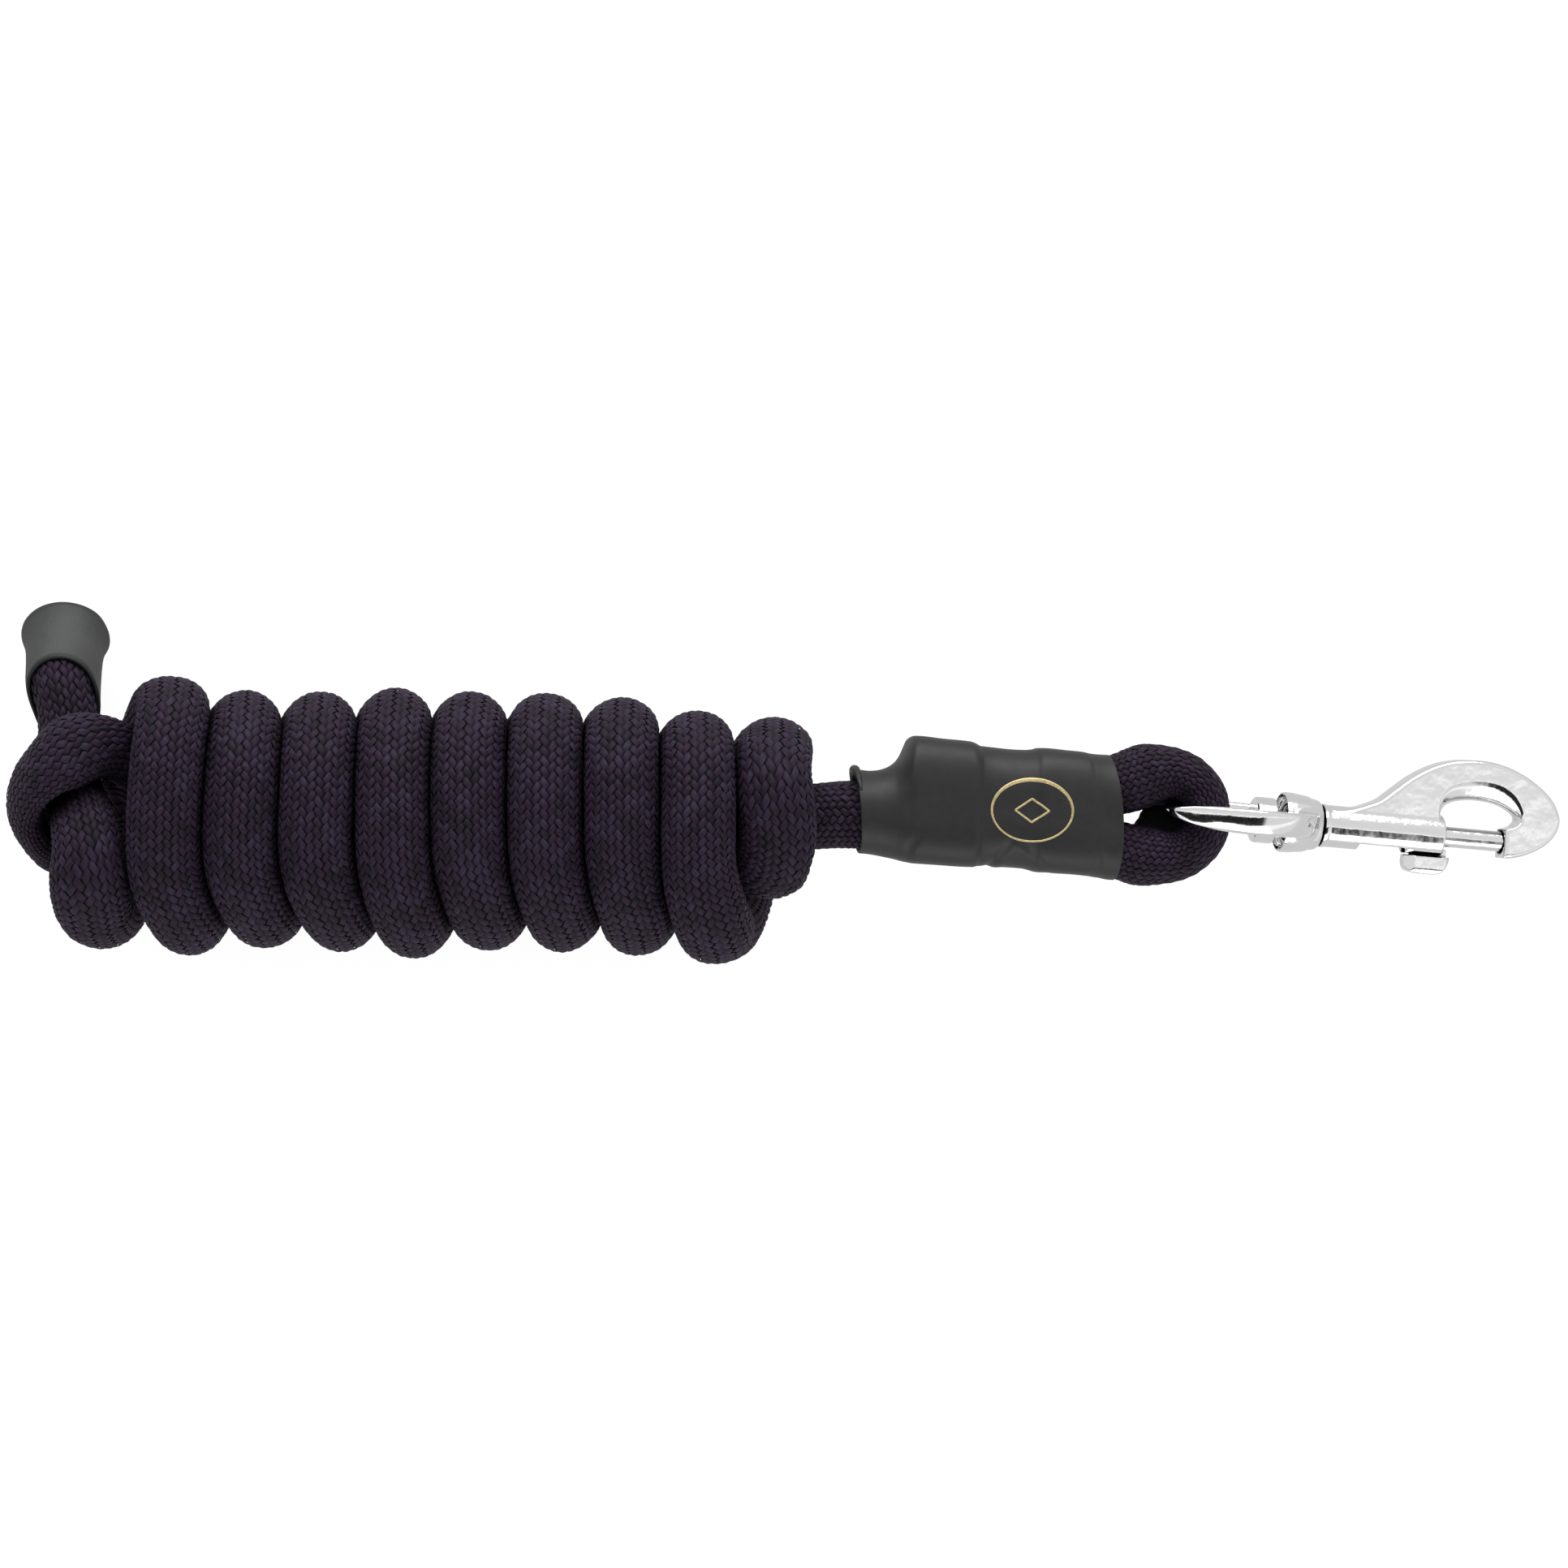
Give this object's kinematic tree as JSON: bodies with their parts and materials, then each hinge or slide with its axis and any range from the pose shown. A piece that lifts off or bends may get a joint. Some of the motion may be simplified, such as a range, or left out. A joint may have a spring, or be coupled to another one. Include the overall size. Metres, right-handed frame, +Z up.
{
  "type": "lead rope",
  "caption": "Soft braided rope coiled into a wrapped bundle, with a rubber end cap and, past a shrink sleeve, a ring swivel and a bolt snap hook.",
  "frame": {"origin": "under the middle of the bounding box, on the ground the bundle lies on", "axes": "+X along the bundle towards the snap hook, +Z up from the ground, +Y towards the side the capped tail sticks out"},
  "size_m": [0.4286, 0.0974, 0.0643],
  "materials": {
    "braid": "matt heather-coloured polypropylene yarn, plaited",
    "filler": "undyed twisted filler yarn",
    "cap_rubber": "matt moulded rubber with fine lengthwise ribs",
    "shrink_sleeve": "semi-matt heat-shrink tube",
    "ferrule": "plain pressed ferrule, hidden under the sleeve",
    "chrome": "nickel-chrome plated zinc casting",
    "spring_wire": "plain spring wire"
  },
  "bodies": {
    "rope": {"rope_cover": "braid", "rope_core": "filler", "tail_cap": "cap_rubber", "splice_sleeve": "shrink_sleeve", "crimp_ferrule_rear": "ferrule", "crimp_ferrule_front": "ferrule"},
    "swivel": {"swivel_eye": "chrome"},
    "snap": {"snap_body": "chrome", "bolt_spring": "spring_wire"},
    "bolt": {"bolt_plunger": "chrome", "thumb_stud": "chrome"}
  },
  "joints": [
    {"name": "eye_swing", "type": "hinge", "parent": "rope", "child": "swivel", "pos_m": [0.1235, -0.00723, 0.02105], "axis": [0.0987, 0.9942, 0.0428], "range_deg": [-50, 50]},
    {"name": "snap_swivel", "type": "hinge", "parent": "swivel", "child": "snap", "pos_m": [0.13817, -0.00856, 0.01823], "axis": [0.9781, -0.089, -0.1882], "continuous": true},
    {"name": "bolt_slide", "type": "slide", "parent": "snap", "child": "bolt", "axis": [-0.9781, 0.089, 0.1882], "range_m": [0, 0.0135], "stiffness_N_per_m": 250, "springref_m": -0.006, "deforming": ["bolt_spring"]}
  ]
}
